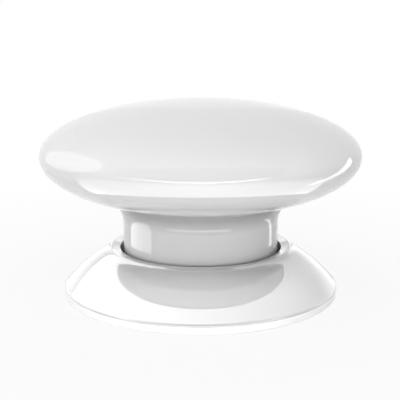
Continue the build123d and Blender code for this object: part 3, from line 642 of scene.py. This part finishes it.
# The thin streak at the cap's right and the hooked strip on the neck's
card("right_window",
     [(128, 10), (127.5, 1), (122, -7), (112.5, -22), (102, -36.5), (93, -39.5), (93.4, -33), (100.6, -23),
      (110, -4.4), (122, 8.5)],
     3.6, CAP_ONLY, rounding=0.01)
card("right_window_low",
     [(119, -8), (127, -8), (131, -20), (133, -32), (126, -46), (121, -46), (125, -34), (126, -28),
      (122, -18)],
     2.6, NECK_ONLY, rounding=0.01)

# The lines across the front of the neck and the cap, the cap's rear edge and its bright lower front
card("low_line",
     [(-62, -40), (-40, -39), (0, -39), (40, -39), (56, -40), (40, -42), (0, -42), (-40, -42)],
     2.2, NECK_ONLY)
card("front_line",
     [(-61, 4.2), (-47, 2.2), (-33, -0.2), (-17, -4), (0, -5.2), (17, -4), (33, 0.2), (53, 8), (33, -3.4),
      (17, -8.6), (0, -10.4), (-17, -8.6), (-33, -3.8), (-47, 0)],
     9.0, CAP_ONLY)
card("back_arch",
     [(-168, -3), (-170, 8), (-174, 18), (180, 23.5), (174, 18), (170, 9), (168, -3)],
     0.1, CAP_ONLY)
floor_card("bright_floor", 25 * MM, 300 * MM, 80, 4.8, CAP_ONLY,
           fade=("LENGTH", (0, -40 * MM, 0), 10 * MM, 88 * MM))

# What the skirt shows round the cap's mirror image: a bright roof, and lighter strips in front and behind
card("roof",
     [(-77, 18), (77, 18), (135, 13), (-135, 13)],
     2.0, BASE_ONLY, fade=("X", (-1.1, 0, 0), 0, 3.2), level=1.0)
card("front_glow",
     [(-70, -5), (-70, 22), (-35, 32), (0, 35), (35, 32), (70, 22), (70, -5), (35, -5), (0, -5), (-35, -5)],
     1.8, BASE_ONLY)
card("back_glow",
     [(-95, -5), (-95, 18), (-130, 22), (-155, 24), (180, 25), (155, 24), (130, 22), (100, 20), (100, -5),
      (130, -5), (155, -5), (180, -5), (-155, -5), (-130, -5)],
     1.0, BASE_ONLY, fade=("Z", (0, 0, 0.05), 0, 0.36))

# A black flag that keeps the front of the room out of the gloss
flag = board("front_flag", 0, 30, 2.6, 0.97)
flag_black, tree, shader, surface = new_material("flag_black")
shader.inputs["Base Color"].default_value = (0, 0, 0, 1)
shader.inputs["Specular IOR Level"].default_value = 0
dress(flag, flag_black)
only_in_gloss(flag)


# Floor: pale paper that the camera sees nearly white, and quite white further out

FLOOR_SIDE = 8.0
FLOOR_DROP = 0.02 * MM
PAPER = (0.75, 0.75, 0.75, 1)
PAPER_ROUGHNESS = 0.8
WHITE_SHARE_NEAR = 0.88
NEAR, OUT = 25 * MM, 90 * MM


def of_both(tree, operation, first, second):
    """The product, or the greater, of two values."""
    node = tree.nodes.new("ShaderNodeMath")
    node.operation = operation
    tree.links.new(first, node.inputs[0])
    tree.links.new(second, node.inputs[1])
    return node.outputs["Value"]


floor = board("floor", 0, -90, FLOOR_SIDE, FLOOR_SIDE, distance=AROUND.z + FLOOR_DROP)
white_sweep, tree, paper, surface = new_material("white_sweep")
paper.inputs["Base Color"].default_value = PAPER
paper.inputs["Roughness"].default_value = PAPER_ROUGHNESS
white = tree.nodes.new("ShaderNodeEmission")
white.inputs["Strength"].default_value = WHITE
away = tree.nodes.new("ShaderNodeVectorMath")
away.operation = "LENGTH"
tree.links.new(tree.nodes.new("ShaderNodeTexCoord").outputs["Object"], away.inputs[0])
whiter = between(tree, away.outputs["Value"], WHITE_SHARE_NEAR, 1, NEAR, OUT)
seen = tree.nodes.new("ShaderNodeLightPath")
blend = tree.nodes.new("ShaderNodeMixShader")
tree.links.new(of_both(tree, "MULTIPLY", seen.outputs["Is Camera Ray"], whiter), blend.inputs["Fac"])
tree.links.new(paper.outputs["BSDF"], blend.inputs[1])
tree.links.new(white.outputs["Emission"], blend.inputs[2])
tree.links.new(blend.outputs["Shader"], surface)
dress(floor, white_sweep)
floor.visible_glossy = False


# Room: white to the camera, in the gloss and through what is clear, and dim as a light

ROOM_LIGHT = 0.1

room = bpy.data.worlds.new("white_room")
bpy.context.scene.world = room
room.use_nodes = True
tree = room.node_tree
seen = tree.nodes.new("ShaderNodeLightPath")
seen_white = of_both(tree, "MAXIMUM", seen.outputs["Is Camera Ray"], seen.outputs["Is Glossy Ray"])
seen_white = of_both(tree, "MAXIMUM", seen_white, seen.outputs["Is Transmission Ray"])
tree.nodes["Background"].inputs["Color"].default_value = (1, 1, 1, 1)
glow = between(tree, seen_white, ROOM_LIGHT, WHITE, 0, 1)
tree.links.new(glow, tree.nodes["Background"].inputs["Strength"])


# Camera, placed by fitting the photograph's outlines: lengths in pixels are of a 400 pixel frame

FRAME_PIXELS = 400
FOCAL_PIXELS = 865
SENSOR = 36.0
HORIZON_DROP_PIXELS = 37
SIDE_PIXELS = 0.6
CAMERA_PLACE = (0, -124 * MM, 39.8 * MM)
CAMERA_DIP_DEGREES = 14.46

camera_data = bpy.data.cameras.new("camera")
camera_data.sensor_width = SENSOR
camera_data.lens = FOCAL_PIXELS / FRAME_PIXELS * SENSOR
camera_data.shift_y = HORIZON_DROP_PIXELS / FRAME_PIXELS
camera_data.shift_x = -SIDE_PIXELS / FRAME_PIXELS
camera_data.clip_start = 0.005
camera = placed(camera_data, "camera")
camera.location = CAMERA_PLACE
camera.rotation_euler = (math.radians(90 - CAMERA_DIP_DEGREES), 0, 0)
bpy.context.scene.camera = camera

bpy.context.scene.view_settings.view_transform = "Standard"
